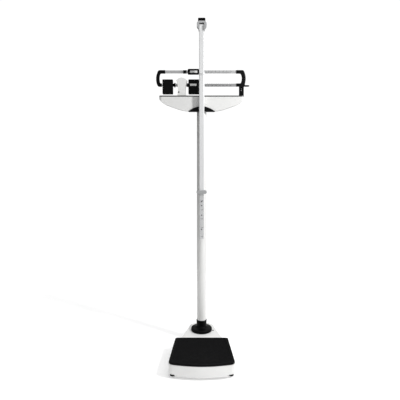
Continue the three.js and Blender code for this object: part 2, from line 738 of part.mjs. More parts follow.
function zeroKnob() {
  const middle = (LOWER_BAR.low + LOWER_BAR.top) / 2;
  return turned([
    [BORE, -156], [8, -156], [8, -150], [10.5, -150],
    [12.5, -148], [12.5, -144], [10.5, -142], [BORE, -142],
    [BORE, -156],
  ], 'x', 0, 0, middle);
}

function addBeam() {
  add('lower_bar', 'aluminium', lowerBar());
  add('upper_bar', 'aluminium', upperBar());
  add('fulcrum_knife', 'steel', across(knifeFront(FULCRUM.x, 'down'), -24, 24));
  add('load_knife', 'steel', across(knifeFront(LOAD_X, 'up'), -12, 12));
  add('beam_bracket_left', 'black', beamBracketLeft());
  add('beam_bracket_right', 'black', beamBracketRight());
  add('pointer', 'black', pointer());
  add('stop_pin', 'steel', stopPin());
  add('beam_spindle', 'steel', beamSpindle());
  add('counterweight', 'black', counterweight());
  add('zero_knob', 'black', zeroKnob());
}

// ---------- poises ----------
function smallPoise() {
  const { low, top, half } = UPPER_BAR;
  return cut(
    across(rectangle(-75.5, 1519, -14, 1548, 6), -11, 11),
    block(-77, -half - 0.5, low - 0.5, -13, half + 0.5, top + 0.5),
    across(rectangle(-64, 1526.5, -22.5, 1539.5, 3), -12, -1));
}

function smallPoiseWindow() {
  return across(rectangle(-63.7, 1526.8, -22.8, 1539.2, 2.7), -10, -UPPER_BAR.half - 1);
}

// The large poise hangs low on its bar. A round guide stands out of its left side.
function largePoise() {
  const { low, top } = LOWER_BAR;
  const slot = LOWER_BAR.half + 0.5;
  const guide = turned([[0, -80], [8.5, -80], [10.5, -78], [10.5, -71], [0, -71]], 'x', 0, 0, (low + top) / 2);
  return cut(
    join(across(rectangle(-72, 1413, -13.5, 1491, 4), -18, 18), guide),
    block(-81, -slot, low - 0.6, -13, slot, top + 0.6),
    block(NOTCHES.first - 4, -3.3, top, NOTCHES.first + 4, 3.3, top + 16),
    across(rectangle(-64, 1456, -27, 1469, 3), -19, -1));
}

function largePoiseWindow() {
  return across(rectangle(-63.7, 1456.3, -27.3, 1468.7, 2.7), -17, -LOWER_BAR.half - 1);
}

function detentTooth() {
  const { top } = LOWER_BAR;
  const x = NOTCHES.first;
  const [half, shoulder, head] = [3, top + 3.5, top + 15];
  const tooth = outline([
    [x, top + 0.4], [x + half, shoulder], [x + half, head], [x - half, head], [x - half, shoulder],
  ]);
  return across(tooth, -2.5, 2.5);
}

function addPoises() {
  add('small_poise', 'black', smallPoise());
  add('small_poise_window', 'lens', smallPoiseWindow());
  add('large_poise', 'black', largePoise());
  add('large_poise_window', 'lens', largePoiseWindow());
  add('detent_tooth', 'steel', detentTooth());
}

// ---------- measuring rod ----------
function rail() {
  return block(-RAIL.half, RAIL.front, RAIL.low, RAIL.half, RAIL.back, RAIL.high);
}

// A short post from the column's front to the rail's back.
function standoff(z) {
  return cut(
    block(-5, RAIL.back + GAP, z, 5, -TUBE.outer + 6, z + 24),
    pin(TUBE.outer + GAP, z - 1, z + 25, 'z', 0, 0, 0, 48));
}

// The sliding tube's section: round at the front, with a slot at the back for the standoffs.
function sleevePlan(grow) {
  const { half: w, front, back } = SLEEVE;
  return rectangle(-w - grow, front - grow, w + grow, back + grow, 4);
}

function slidingTube() {
  const { half: w, front, back, wall, low, high, slot } = SLEEVE;
  return cut(
    upright(sleevePlan(0), low, high),
    upright(rectangle(-w + wall, front + wall, w - wall, back - wall, 2), low - 1, high + 1),
    block(-slot, back - wall - 1, low - 1, slot, back + 1, high + 1));
}

// A collar with two ears at the tube's lower end, over whose edge the height is read.
function reader() {
  const front = outline([
    [-20, 870, 3], [20, 870, 3], [28, 875, 4], [28, 885, 4],
    [20, 890, 3], [-20, 890, 3], [-28, 885, 4], [-28, 875, 4],
  ]);
  return cut(
    across(front, -62, -39),
    upright(sleevePlan(GAP), 869, 891),
    block(-SLEEVE.slot - 0.5, -43, 869, SLEEVE.slot + 0.5, -38, 891));
}

// A pear-shaped head on the tube's top. Its front slot takes the measuring tongue.
function rodHead() {
  const front = mirrored([
    [16.5, HEAD.low, 2], [16.5, 1747, 5], [26, 1757, 7], [26, 1777, 6], [17, HEAD.top, 5],
  ]);
  const room = TONGUE.half + 0.8;
  return cut(
    across(front, HEAD.front, HEAD.back),
    upright(sleevePlan(GAP), HEAD.low - 1, SLEEVE.high + GAP),
    block(-room, HEAD.front - 1, HEAD.low - 1, room, -61, TONGUE.z - 15),
    block(-room, HEAD.front - 1, TONGUE.z - 16, room, -54, TONGUE.z + 11),
    pin(2.5 + GAP, -28, 28, 'x', 0, TONGUE.y, TONGUE.z));
}

function rodCap() {
  const low = HEAD.top + GAP;
  const top = low + 15.7;
  const shape = new THREE.Shape();
  shape.moveTo(-19.5, low + 2);
  shape.quadraticCurveTo(-19.5, low, -17, low);
  shape.quadraticCurveTo(0, low + 9, 17, low);
  shape.quadraticCurveTo(19.5, low, 19.5, low + 2);
  shape.lineTo(19.5, top - 5);
  shape.quadraticCurveTo(19.5, top, 13, top);
  shape.lineTo(-13, top);
  shape.quadraticCurveTo(-19.5, top, -19.5, top - 5);
  shape.closePath();
  const shell = extruded(shape, 26).applyMatrix4(FRONT_VIEW).translate(0, -44, 0);
  return join(shell, pin(5, low, top - 5, 'z', 0, -57));
}

function tonguePin() {
  return pin(2.5, -25.5, 25.5, 'x', 0, TONGUE.y, TONGUE.z);
}

// A flat blade that hangs in front of the tube and folds out over the patient's head.
function tongue() {
  const { y, z, half: w, thick, low } = TONGUE;
  const blade = across(rectangle(-w, low, w, z, 6), y - thick / 2, y + thick / 2);
  const barrel = pin(5, -w, w, 'x', 0, y, z);
  return cut(join(blade, barrel), pin(2.5 + GAP, -w - 1, w + 1, 'x', 0, y, z));
}

function addMeasuringRod() {
  add('rail', 'aluminium', rail());
  add('standoff_lower', 'white', standoff(624));
  add('standoff_upper', 'white', standoff(1262));
  add('sliding_tube', 'grey', slidingTube());
  add('reader', 'grey', reader());
  add('rod_head', 'grey', rodHead());
  add('rod_cap', 'black', rodCap());
  add('tongue_pin', 'steel', tonguePin());
  add('tongue', 'grey', tongue());
}

// ---------- assembly ----------
addBase();
addLeversAndPlatform();
addColumn();
addHeadHousing();
addFulcrum();
addBeam();
addPoises();
addMeasuringRod();

const footprint = new THREE.Box3().setFromObject(scale).getCenter(new THREE.Vector3());
scale.position.set(-footprint.x, -footprint.y, 0);

export default scale;
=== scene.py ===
"""The looks of a physician's beam scale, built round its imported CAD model.

Metres, +Z up. The patient steps on from -Y. Drawing sizes are in millimetres from the column's axis and
the floor.
"""

import math

import bmesh
import bpy
from mathutils import Matrix, Vector

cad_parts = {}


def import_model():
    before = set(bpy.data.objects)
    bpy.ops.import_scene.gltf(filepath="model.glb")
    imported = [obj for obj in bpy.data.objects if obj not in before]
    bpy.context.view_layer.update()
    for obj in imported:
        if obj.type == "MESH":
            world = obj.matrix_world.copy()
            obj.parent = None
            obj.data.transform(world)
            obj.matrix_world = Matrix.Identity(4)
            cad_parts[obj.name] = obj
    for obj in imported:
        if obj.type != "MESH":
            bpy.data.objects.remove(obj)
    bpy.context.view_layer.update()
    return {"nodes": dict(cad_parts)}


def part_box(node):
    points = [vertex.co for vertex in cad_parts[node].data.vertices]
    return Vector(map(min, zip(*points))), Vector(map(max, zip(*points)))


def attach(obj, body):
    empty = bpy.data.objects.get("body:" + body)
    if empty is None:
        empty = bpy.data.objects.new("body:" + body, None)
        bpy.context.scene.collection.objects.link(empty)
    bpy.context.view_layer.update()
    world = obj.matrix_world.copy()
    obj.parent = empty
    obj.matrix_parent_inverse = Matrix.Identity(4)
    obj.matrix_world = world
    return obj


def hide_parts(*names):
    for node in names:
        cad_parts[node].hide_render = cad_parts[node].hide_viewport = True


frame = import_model()

MM = 0.001
column_low, column_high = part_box("column_tube")
AXIS = (column_low + column_high) / 2  # the column's axis, which the drawing's X 0 and Y 0 stand for


def at(x, y, z):
    """A point from drawing millimetres, measured from the column's axis and the floor."""
    return Vector((AXIS.x + x * MM, AXIS.y + y * MM, z * MM))


# ---------- material nodes ----------
class Nodes:
    """A material's node tree, with short calls for the nodes that the finishes use."""

    def __init__(self, name):
        self.material = bpy.data.materials.new(name)
        self.material.use_nodes = True
        self.tree = self.material.node_tree
        self.shader = self.tree.nodes["Principled BSDF"]
        self.place = self.new("ShaderNodeTexCoord").outputs["Object"]

    def new(self, kind, **settings):
        node = self.tree.nodes.new(kind)
        for key, value in settings.items():
            setattr(node, key, value)
        return node

    def link(self, source, target):
        self.tree.links.new(source, target)

    def put(self, value, target):
        """Sets a socket to a number or links it to another node's output."""
        if isinstance(value, bpy.types.NodeSocket):
            self.link(value, target)
        else:
            target.default_value = value

    def stretched(self, x, y, z):
        """Coordinates stretched along each axis, for grain that runs one way."""
        node = self.new("ShaderNodeMapping")
        node.inputs["Scale"].default_value = (x, y, z)
        self.link(self.place, node.inputs["Vector"])
        return node.outputs["Vector"]

    def noise(self, scale, detail=3.0, roughness=0.55, place=None):
        node = self.new("ShaderNodeTexNoise")
        node.inputs["Scale"].default_value = scale
        node.inputs["Detail"].default_value = detail
        node.inputs["Roughness"].default_value = roughness
        self.link(place or self.place, node.inputs["Vector"])
        return node.outputs["Fac"]

    def cells(self, scale, randomness=1.0):
        node = self.new("ShaderNodeTexVoronoi")
        node.inputs["Scale"].default_value = scale
        node.inputs["Randomness"].default_value = randomness
        self.link(self.place, node.inputs["Vector"])
        return node.outputs["Distance"]

    def spread(self, value, low, high, to_low=0.0, to_high=1.0):
        node = self.new("ShaderNodeMapRange")
        limits = {"From Min": low, "From Max": high, "To Min": to_low, "To Max": to_high}
        for name, number in limits.items():
            node.inputs[name].default_value = number
        self.link(value, node.inputs["Value"])
        return node.outputs["Result"]

    def math(self, operation, a, b=0.0):
        node = self.new("ShaderNodeMath", operation=operation)
        self.put(a, node.inputs[0])
        self.put(b, node.inputs[1])
        return node.outputs["Value"]

    def mixed(self, factor, a, b):
        """A colour between a and b, which are colours or other nodes' outputs."""
        node = self.new("ShaderNodeMix", data_type="RGBA")
        self.put(factor, node.inputs["Factor"])
        for value, name in ((a, "A"), (b, "B")):
            socket = [s for s in node.inputs if s.name == name and s.type == "RGBA"][0]
            self.put(value if isinstance(value, bpy.types.NodeSocket) else (*value, 1.0), socket)
        return [s for s in node.outputs if s.type == "RGBA"][0]

    def edges(self, radius):
        """1 on worn outer edges, 0 on flat faces."""
        rounded = self.new("ShaderNodeBevel", samples=4)
        rounded.inputs["Radius"].default_value = radius
        dot = self.new("ShaderNodeVectorMath", operation="DOT_PRODUCT")
        self.link(rounded.outputs["Normal"], dot.inputs[0])
        self.link(self.new("ShaderNodeNewGeometry").outputs["Normal"], dot.inputs[1])
        return self.spread(dot.outputs["Value"], 0.985, 0.86)

    def bump(self, height, distance, strength=1.0, below=None):
        node = self.new("ShaderNodeBump")
        node.inputs["Strength"].default_value = strength
        node.inputs["Distance"].default_value = distance
        self.link(height, node.inputs["Height"])
        if below is not None:
            self.link(below, node.inputs["Normal"])
        return node.outputs["Normal"]

    def finish(self, color, rough, normal, metallic=0.0, **constants):
        self.link(color, self.shader.inputs["Base Color"])
        self.link(rough, self.shader.inputs["Roughness"])
        self.link(normal, self.shader.inputs["Normal"])
        self.shader.inputs["Metallic"].default_value = metallic
        for name, value in constants.items():
            self.shader.inputs[name.replace("_", " ")].default_value = value
        return self.material


def enamel(name, base, worn, rough, peel, gloss):
    """Sprayed paint: orange peel, faint clouds, fine specks, and thin edges."""
    n = Nodes(name)
    cloud = n.noise(9.0, 4.0)
    speck = n.spread(n.noise(950.0, 2.0), 0.68, 0.76)
    clean = n.mixed(n.spread(cloud, 0.35, 0.65), [c * 0.965 for c in base], base)
    specked = n.mixed(n.math("MULTIPLY", speck, 0.35), clean, worn)
    chipped = n.math("MULTIPLY", n.edges(0.0009), n.spread(n.noise(120.0, 4.0), 0.45, 0.7))
    color = n.mixed(n.math("MULTIPLY", chipped, 0.6), specked, worn)
    smear = n.spread(n.noise(26.0, 5.0, 0.65), 0.3, 0.7, rough - 0.06, rough + 0.09)
    normal = n.bump(n.noise(peel, 2.0), 0.00012, 0.35)
    return n.finish(color, smear, normal, Coat_Weight=gloss, Coat_Roughness=0.12)


def textured_paint(name, base, worn, rough):
    """Black crinkle paint on cast iron."""
    n = Nodes(name)
    crinkle = n.cells(420.0)
    cloud = n.spread(n.noise(60.0, 4.0), 0.35, 0.7)
    tone = n.mixed(cloud, base, [c * 1.8 + 0.0008 for c in base])
    chipped = n.math("MULTIPLY", n.edges(0.0008), n.spread(n.noise(150.0, 4.0), 0.5, 0.72))
    color = n.mixed(n.math("MULTIPLY", chipped, 0.5), tone, worn)
    roughness = n.spread(n.noise(90.0, 3.0), 0.3, 0.7, rough - 0.08, rough + 0.12)
    fine = n.bump(n.noise(1400.0, 2.0), 0.00008, 0.3)
    normal = n.bump(crinkle, 0.0004, 0.28, fine)
    return n.finish(color, roughness, normal, Specular_IOR_Level=0.12)


def moulded(name, base, rough, grain=900.0, depth=0.0001, dust=0.0, shine=0.5):
    """Moulded plastic or rubber: fine spark grain, scuffs and settled dust."""
    n = Nodes(name)
    scuff = n.spread(n.noise(45.0, 6.0, 0.7), 0.52, 0.7)
    patches = n.spread(n.noise(14.0, 3.0), 0.35, 0.65)
    cloud = n.mixed(patches, [c * 0.9 for c in base], [c * 1.08 for c in base])
    color = n.mixed(n.math("MULTIPLY", scuff, 0.05 + dust), cloud, [min(1.0, c + 0.12) for c in base])
    roughness = n.spread(n.noise(70.0, 5.0, 0.7), 0.3, 0.7, rough - 0.07, rough + 0.1)
    normal = n.bump(n.noise(grain, 3.0, 0.7), depth, 0.5)
    return n.finish(color, roughness, normal, Specular_IOR_Level=shine)


def brushed(name, base, rough, grain, spots=0.1, metallic=1.0):
    """Drawn or brushed metal. Grain is the coordinate stretch that makes the lines run along the piece."""
    n = Nodes(name)
    lines = n.noise(30.0, 5.0, 0.7, n.stretched(*grain))
    tone = n.mixed(n.spread(lines, 0.3, 0.7), [c * 0.86 for c in base], base)
    stain = n.spread(n.noise(38.0, 5.0, 0.65), 0.55, 0.75)
    color = n.mixed(n.math("MULTIPLY", stain, spots), tone, [c * 0.55 for c in base])
    roughness = n.spread(n.noise(22.0, 4.0, 0.6, n.stretched(*grain)), 0.3, 0.7, rough - 0.07, rough + 0.11)
    normal = n.bump(lines, 0.00006, 0.35)
    return n.finish(color, roughness, normal, metallic)


def cast(name, base, rough):
    """Painted sand casting, with a coarse skin."""
    n = Nodes(name)
    grain = n.noise(420.0, 5.0, 0.7)
    tone = n.mixed(n.spread(n.noise(30.0, 4.0), 0.3, 0.7), [c * 0.8 for c in base], [c * 1.2 for c in base])
    rust = n.spread(n.noise(22.0, 6.0, 0.7), 0.62, 0.74)
    color = n.mixed(n.math("MULTIPLY", rust, 0.3), tone, (0.12, 0.06, 0.035))
    roughness = n.spread(n.noise(80.0, 3.0), 0.3, 0.7, rough - 0.1, rough + 0.1)
    return n.finish(color, roughness, n.bump(grain, 0.0003, 0.5), 0.3)


def ink(name, base):
    """Baked-on marking ink with slightly broken coverage."""
    n = Nodes(name)
    thin = n.spread(n.noise(1800.0, 3.0), 0.6, 0.72)
    color = n.mixed(n.math("MULTIPLY", thin, 0.25), base, [c + 0.12 for c in base])
    roughness = n.spread(n.noise(500.0, 2.0), 0.3, 0.7, 0.42, 0.6)
    return n.finish(color, roughness, n.bump(n.noise(1500.0, 2.0), 0.00003, 0.4))


GRAIN_X = (0.6, 40.0, 40.0)
GRAIN_Z = (40.0, 40.0, 0.6)
WHITE = enamel("white_enamel", (0.8, 0.8, 0.79), (0.48, 0.47, 0.45), 0.34, 620.0, 0.25)
BLACK = textured_paint("black_enamel", (0.0014, 0.0014, 0.0017), (0.05, 0.049, 0.047), 0.5)
PLASTIC = moulded("black_plastic", (0.001, 0.001, 0.0012), 0.42, dust=-0.045, shine=0.08)
FOOT_RUBBER = moulded("foot_rubber", (0.008, 0.008, 0.008), 0.8, 1300.0, 0.0002, 0.02, 0.15)
MAT_RUBBER = moulded("mat_rubber", (0.003, 0.003, 0.0034), 0.72, 1500.0, 0.00022, -0.04, 0.08)
IRON = cast("cast_iron", (0.045, 0.047, 0.05), 0.62)
STEEL = brushed("steel", (0.56, 0.57, 0.58), 0.3, GRAIN_X)
BEAM_METAL = brushed("beam_aluminium", (0.6, 0.605, 0.61), 0.38, GRAIN_X, 0.2)
UPPER_METAL = brushed("zinc_beam", (0.78, 0.785, 0.79), 0.36, GRAIN_X, 0.15, 0.8)
LID_METAL = brushed("lid_metal", (0.12, 0.122, 0.125), 0.42, GRAIN_X, 0.15)
ROD_METAL = brushed("rod_aluminium", (0.9, 0.905, 0.91), 0.34, GRAIN_Z, 0.08, 0.25)
RAIL_METAL = brushed("rail_aluminium", (0.76, 0.765, 0.77), 0.42, GRAIN_Z, 0.1, 0.4)
GREY = moulded("grey_plastic", (0.4, 0.405, 0.41), 0.4, 800.0, 0.00008, 0.02)
LENS = moulded("window_white", (0.86, 0.86, 0.85), 0.22, 700.0, 0.00003)
INK = ink("marking_ink", (0.012, 0.012, 0.014))


# ---------- the CAD nodes that stay ----------
def dress(material, node, width, segments=2):
    """Gives a CAD node its finish and rounds its edges with modifiers. Its own vertices stay as they are."""
    obj = frame["nodes"][node]
    mesh = obj.data
    if "custom_normal" in mesh.attributes:
        mesh.attributes.remove(mesh.attributes["custom_normal"])
    mesh.shade_smooth()
    mesh.materials.clear()
    mesh.materials.append(material)
    obj.modifiers.new("weld", "WELD").merge_threshold = 0.00002
    flat = obj.modifiers.new("flat", "DECIMATE")
    flat.decimate_type = "DISSOLVE"
    flat.angle_limit = math.radians(0.4)
    round_edges(obj, width, segments)
    return obj


def round_edges(obj, width, segments=2, angle=32):
    bevel = obj.modifiers.new("bevel", "BEVEL")
    bevel.width = width * MM
    bevel.segments = segments
    bevel.limit_method = "ANGLE"
    bevel.angle_limit = math.radians(angle)
    bevel.miter_outer = "MITER_ARC"
    bevel.harden_normals = False
    normals = obj.modifiers.new("normals", "WEIGHTED_NORMAL")
    normals.keep_sharp = True
    normals.weight = 60


# Finish, width of the rounded edges in millimetres, and nodes. Thin walls take narrow roundings.
KEPT = [
    (WHITE, 1.6, ["base_casting", "rear_cover"]),
    (WHITE, 1.2, ["pan"]),
    (WHITE, 0.7, ["fulcrum_cover"]),
    (WHITE, 0.6, ["standoff_lower", "standoff_upper"]),
    (BLACK, 1.4, ["counterweight", "large_poise"]),
    (BLACK, 0.8, ["beam_bracket_left", "beam_bracket_right", "small_poise"]),
    (BLACK, 0.5, ["cradle", "guide_post"]),
    (BLACK, 0.4, ["pointer", "rear_cover_screw", "fulcrum_cover_screw"]),
    (PLASTIC, 0.8, ["rod_cap"]),
    (IRON, 0.8, ["long_lever", "short_lever", "platform_plate", "column_socket", "head_socket"]),
    (IRON, 0.3, ["transfer_lever", "transfer_stand", "fulcrum_stand"]),
    (STEEL, 0.3, ["long_lever_fulcrum_knife", "long_lever_load_knife", "short_lever_fulcrum_knife"]),
    (STEEL, 0.3, ["short_lever_load_knife", "nose_link", "draft_rod", "transfer_pin", "beam_link"]),
    (STEEL, 0.25, ["fulcrum_bearing_front", "fulcrum_bearing_rear", "fulcrum_knife", "load_knife"]),
    (STEEL, 0.25, ["stop_pin", "beam_spindle", "detent_tooth", "tongue_pin"]),
    (BEAM_METAL, 0.35, ["lower_bar"]),
    (UPPER_METAL, 0.25, ["upper_bar"]),
    (LID_METAL, 0.6, ["pan_lid"]),
    (RAIL_METAL, 0.5, ["rail"]),
    (ROD_METAL, 0.4, ["sliding_tube", "tongue"]),
    (GREY, 0.6, ["rod_head"]),
    (GREY, 0.35, ["reader"]),
    (LENS, 0.6, ["small_poise_window", "large_poise_window"]),
]
for finish, rounding, nodes in KEPT:
    for node_name in nodes:
        dress(finish, node_name, rounding)


# ---------- new pieces ----------
def piece(name, bm, body, material, stands_for=()):
    """Turns a bmesh into a finished piece that rides on a body."""
    bmesh.ops.recalc_face_normals(bm, faces=bm.faces)
    mesh = bpy.data.meshes.new(name)
    bm.to_mesh(mesh)
    bm.free()
    mesh.shade_smooth()
    mesh.materials.append(material)
    obj = bpy.data.objects.new(name, mesh)
    bpy.context.scene.collection.objects.link(obj)
    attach(obj, body)
    if stands_for:
        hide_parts(*stands_for)
    return obj


def curved(points, steps=6):
    """A smooth line through [radius, height] points."""
    line = []
    for i in range(len(points) - 1):
        before, here = points[max(i - 1, 0)], points[i]
        there, after = points[i + 1], points[min(i + 2, len(points) - 1)]
        for k in range(steps):
            t = k / steps
            line.append(tuple(
                0.5 * (2 * b + (c - a) * t
                       + (2 * a - 5 * b + 4 * c - d) * t * t
                       + (3 * b - a - 3 * c + d) * t ** 3)
                for a, b, c, d in zip(before, here, there, after)))
    line.append(tuple(points[-1]))
    return line


BEAM_AXIS_Z = 1462

# How a profile's radius r and height h lie about each axis, for an angle's cosine c and sine s.
TURNED = {
    "z": lambda r, h, c, s: (r * c, r * s, h),
    "x": lambda r, h, c, s: (h, r * c, r * s),
    "y": lambda r, h, c, s: (r * c, h, r * s),
}


def turn(bm, profile, centre, axis="z", facets=96, radius=lambda r, h, k: r):
    """Turns a profile about an axis through centre. It is a closed ring, or starts and ends on the axis."""
    closed = profile[0][0] > 0
    rows = []
    for r, h in profile:
        if r == 0:
            x, y, z = TURNED[axis](0, h, 1, 0)
            rows.append([bm.verts.new(centre + Vector((x, y, z)) * MM)])
            continue
        row = []
        for k in range(facets):
            angle = 2 * math.pi * k / facets
            x, y, z = TURNED[axis](radius(r, h, k), h, math.cos(angle), math.sin(angle))
            row.append(bm.verts.new(centre + Vector((x, y, z)) * MM))
        rows.append(row)
    pairs = list(zip(rows, rows[1:])) + ([(rows[-1], rows[0])] if closed else [])
    for low, high in pairs:
        for k in range(facets):
            j = (k + 1) % facets
            corners = [low[k % len(low)], low[j % len(low)], high[j % len(high)], high[k % len(high)]]
            unique = list(dict.fromkeys(corners))
            if len(unique) > 2:
                bm.faces.new(unique)


def turned(name, profile, centre, body, slot, material, stands_for=(), rounding=0.0, **how):
    bm = bmesh.new()
    turn(bm, profile, centre, **how)
    obj = piece(name, bm, body, material, stands_for)
    if rounding:
        round_edges(obj, rounding)
    return obj


def add_box(bm, low, high):
    """Adds a box between two drawing corners."""
    low, high = at(*low), at(*high)
    made = bmesh.ops.create_cube(bm, size=1.0)
    for v in made["verts"]:
        v.co = Vector([low[i] if v.co[i] < 0 else high[i] for i in range(3)])


COLUMN_INNER, COLUMN_OUTER = 24, 26
COVER_BORE = 26.3  # the bell and the collar clear the column by 0.3


def column():
    low, high = column_low.z / MM, column_high.z / MM
    profile = [(COLUMN_INNER, low), (COLUMN_OUTER, low), (COLUMN_OUTER, high), (COLUMN_INNER, high)]
    turned("column", profile, at(0, 0, 0), "base", "white_enamel", WHITE, ["column_tube"], 0.5)


def bell():
    """The moulded cover round the column's foot."""
    low, high = 70.3, 117.7
    outside = curved([
        (60, 71.6), (60, 80), (59.2, 84), (56, 87), (49, 89), (41, 90.8), (34, 93.6), (30.6, 98), (29, 105)])
    profile = [(COVER_BORE, low), (59, low)] + outside + [(28.5, high), (COVER_BORE, high)]
    turned("bell", profile, at(0, 0, 0), "base", "black_plastic", PLASTIC, ["foot_bell"], 0.4)


def collar():
    """The collar on top of the bell, with a shallow groove round it."""
    low, high = 118, 135
    profile = [(COVER_BORE, low), (29, low), (29, 121.5), (28.3, 122), (28.3, 123), (29, 123.5), (29.4, 131)]
    profile += [(29.4, 133.6), (28.4, high), (COVER_BORE, high)]
    turned("collar", profile, at(0, 0, 0), "base", "black_plastic", PLASTIC, ["foot_collar"], 0.3)


def rubber_foot(place):
    """A grooved foot with a dished sole and a stud that goes up into the base."""
    low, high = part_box("foot_" + place)
    centre = Vector(((low.x + high.x) / 2, (low.y + high.y) / 2, 0))
    foot, stud, stud_length = 12, 3.7, 8.3
    top = high.z / MM
    seat = top - stud_length
    profile = [(0, 0.8), (6, 0.8), (6.6, 0), (10.6, 0), (foot, 1.6), (foot, 6), (11.2, 6.6), (11.2, 8)]
    profile += [(foot, 8.6), (foot, seat), (stud, seat), (stud, top), (0, top)]
    name = "rubber_foot_" + place
    turned(name, profile, centre, "base", "foot_rubber", FOOT_RUBBER, ["foot_" + place], 0.25, facets=48)


def knob():
    """The zero knob, with a knurled rim."""
    bore, rim, groove_depth = 4.3, 12.5, 0.55

    def ridged(r, h, k):
        return r - (groove_depth if k % 2 and r > 12 else 0.0)

    profile = [(bore, -156), (7.4, -156), (8, -155.4), (8, -151), (8.6, -150), (11, -150), (rim, -148.6)]
    profile += [(rim, -143.4), (11, -142), (8, -142), (7.4, -142.6), (bore, -142.6)]
    centre = at(0, 0, BEAM_AXIS_Z)
    turned("knurled_knob", profile, centre, "zero_knob", "black_plastic", PLASTIC, ["zero_knob"], 0.0,
           axis="x", facets=96, radius=ridged)


column()
bell()
collar()
for foot_place in ("front_left", "front_right", "rear_left", "rear_right"):
    rubber_foot(foot_place)
knob()


# ---------- the mat ----------
def rounded(corners, steps=12):
    """An outline from corners [x, y, r], where r is how far from the corner its rounding starts."""
    points = []
    for i, (x, y, r) in enumerate(corners):
        here = Vector((x, y))
        before = Vector(corners[i - 1][:2])
        after = Vector(corners[(i + 1) % len(corners)][:2])
        start = here + (before - here).normalized() * r
        end = here + (after - here).normalized() * r
        for k in range(steps + 1):
            t = k / steps
            points.append(start * (1 - t) ** 2 + here * 2 * t * (1 - t) + end * t * t)
    return points


def platform_plan(inset):
    """The platform's plan in drawing millimetres, with every side moved inwards by inset."""
    back, front = 146.5 - inset, 167.5 - inset
    back_y, corner_y, bow_y = -117 - inset, -400 + inset, -434 + inset
    return rounded([
        (-back, back_y, 14), (back, back_y, 14),
        (front, corner_y, 28), (0, bow_y, 110), (-front, corner_y, 28)])


MAT_FIELD = 78.0  # the ribbed field lies below the raised border


def mat():
    """The mat wraps over the platform's plate. Its border is a section of [inset, height] points."""
    lip, underside_z, wall = 71.5, 76.3, 6.7
    top = 80.0
    section = [(wall, lip), (2.6, lip), (2, lip + 0.8), (2, top - 2.6), (2.4, top - 1.2), (3.4, top - 0.3)]
    section += [(4.8, top), (14.6, top), (15.8, top - 0.2), (16.6, top - 0.9), (17, MAT_FIELD)]
    bm = bmesh.new()
    loops = [[bm.verts.new(at(p.x, p.y, z)) for p in platform_plan(inset)] for inset, z in section]
    for low, high in zip(loops, loops[1:]):
        for k in range(len(low)):
            j = (k + 1) % len(low)
            bm.faces.new([low[k], low[j], high[j], high[k]])
    bm.faces.new(loops[-1])
    underside = [bm.verts.new(at(p.x, p.y, underside_z)) for p in platform_plan(wall)]
    first = loops[0]
    for k in range(len(first)):
        j = (k + 1) % len(first)
        bm.faces.new([first[k], first[j], underside[j], underside[k]])
    bm.faces.new(underside)
    piece("rubber_mat", bm, "platform", MAT_RUBBER, ["platform_mat"])


def inside_range(plan, x):
    """The Y range of the outline at a given X."""
    crossings = []
    for a, b in zip(plan, plan[1:] + plan[:1]):
        if (a.x - x) * (b.x - x) < 0:
            crossings.append(a.y + (b.y - a.y) * (x - a.x) / (b.x - a.x))
    return (min(crossings), max(crossings)) if len(crossings) > 1 else None


def mat_ribs():
    """Low ribs from back to front across the mat's field."""
    bm = bmesh.new()
    plan = platform_plan(20)
    pitch, half, outermost = 5.0, 1.2, 140.0
    low, top = MAT_FIELD - 0.1, MAT_FIELD + 0.8
    x = -outermost
    while x <= outermost:
        ends = [inside_range(plan, x - half), inside_range(plan, x + half)]
        if all(ends) and min(e[1] - e[0] for e in ends) > 20:
            y0, y1 = max(e[0] for e in ends), min(e[1] for e in ends)
            add_box(bm, (x - half, y0, low), (x + half, y1, top))
        x += pitch
    ribs = piece("mat_ribs", bm, "platform", MAT_RUBBER)
    round_edges(ribs, 0.45, 2)


mat()
mat_ribs()


# ---------- markings ----------
PRINT = 0.08  # how far ink stands out of a face
UPPER_FACE, LOWER_FACE, RAIL_FACE = -2.5, -3, -53  # the Y of the front faces that carry scales


def add_label(bm, text, centre, size, face_y):
    """Adds a number, centred on drawing X and Z, that stands out of the front face at face_y."""
    font = bpy.data.curves.new("number", "FONT")
    font.body = text
    font.size = size * MM
    font.align_x = "CENTER"
    font.align_y = "CENTER"
    font.extrude = PRINT * MM
    font.resolution_u = 3
    holder = bpy.data.objects.new("number", font)
    bpy.context.scene.collection.objects.link(holder)
    bpy.context.view_layer.update()
    evaluated = holder.evaluated_get(bpy.context.evaluated_depsgraph_get())
    shape = bpy.data.meshes.new_from_object(evaluated)
    upright = Matrix.Rotation(math.pi / 2, 4, "X")
    shape.transform(Matrix.Translation(at(centre[0], face_y, centre[1])) @ upright)
    bm.from_mesh(shape)
    bpy.data.objects.remove(holder)
    bpy.data.curves.remove(font)
    bpy.data.meshes.remove(shape)


def add_mark(bm, x0, z0, x1, z1, face_y):
    add_box(bm, (x0, face_y - PRINT, z0), (x1, face_y + PRINT, z1))


def printed(name, bm, body):
    bmesh.ops.remove_doubles(bm, verts=bm.verts, dist=1e-7)
    obj = piece(name, bm, body, INK)
    obj.data.shade_flat()


ZERO_X = -43  # where both scales read zero


def upper_scale():
    """Marks every 0.1 kg and numbers every 1 kg, 20 mm apart."""
    bm = bmesh.new()
    low = 1525
    for i in range(101):
        x = ZERO_X + 2 * i
        height = 6.2 if i % 10 == 0 else 4.6 if i % 5 == 0 else 3.2
        wide = 0.3 if i % 10 == 0 else 0.2
        add_mark(bm, x - wide, low + 0.9, x + wide, low + 0.9 + height, UPPER_FACE)
    for i in range(11):
        add_label(bm, str(i), (ZERO_X + 20 * i, low + 11.2), 7.5, UPPER_FACE)
    printed("upper_scale", bm, "beam")


